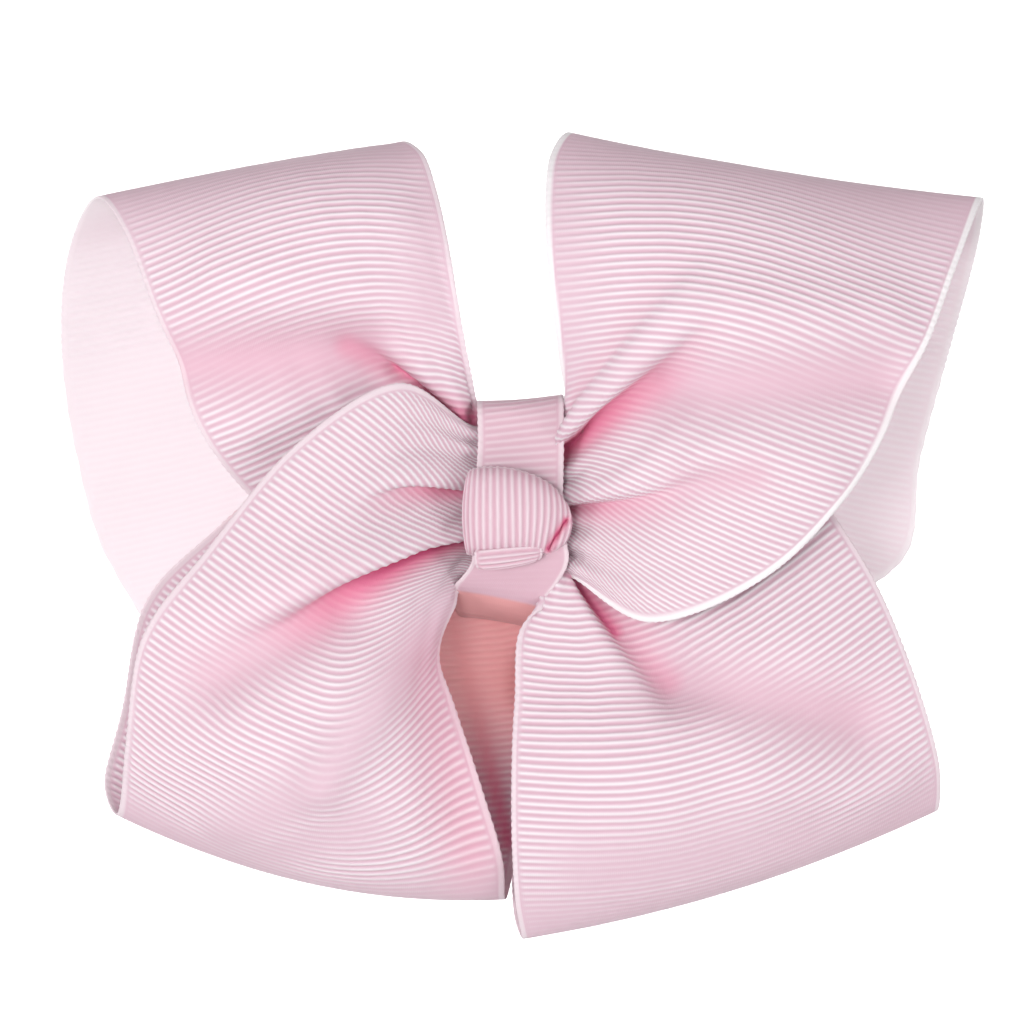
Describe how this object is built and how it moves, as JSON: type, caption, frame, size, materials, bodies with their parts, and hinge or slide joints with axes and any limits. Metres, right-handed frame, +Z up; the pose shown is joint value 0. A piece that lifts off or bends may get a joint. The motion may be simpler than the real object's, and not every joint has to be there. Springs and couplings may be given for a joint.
{
  "type": "ribbon hair bow on clip",
  "caption": "Ribbon hair bow: puffed loops of wide grosgrain gathered under a knotted ribbon wrap, on a sprung alligator clip whose jaw opens.",
  "frame": {"origin": "in the clip's grip, between its closed arms, behind the middle of the knot", "axes": "+X to the wearer's view right across the bow, +Y back into the hair, +Z up; the bow's face looks along -Y"},
  "size_m": [0.1639, 0.0463, 0.1419],
  "materials": {
    "wide_ribbon": "pale pink ribbed grosgrain, soft sheen",
    "wrap_ribbon": "pale pink narrow ribbed ribbon",
    "thread": "pink sewing thread",
    "glue": "set hot-melt glue, milky",
    "clip_steel": "nickel-plated pressed steel",
    "spring_wire": "drawn spring wire"
  },
  "bodies": {
    "bow": {"upper_left_loop": "wide_ribbon", "upper_right_loop": "wide_ribbon", "lower_left_loop": "wide_ribbon", "lower_right_loop": "wide_ribbon", "gathering_thread": "thread", "centre_wrap": "wrap_ribbon", "centre_knot": "wrap_ribbon", "glue_pad": "glue", "clip_fixed_arm": "clip_steel", "clip_pin": "clip_steel", "clip_spring": "spring_wire"},
    "clip_jaw": {"clip_jaw_arm": "clip_steel"}
  },
  "joints": [
    {"name": "clip_hinge", "type": "hinge", "parent": "bow", "child": "clip_jaw", "pos_m": [0.012, 0.0016, 0], "axis": [0, 0, -1], "range_deg": [0, 22], "stiffness_Nm_per_rad": 0.15, "springref_deg": -28.65, "deforming": ["clip_spring"]}
  ]
}
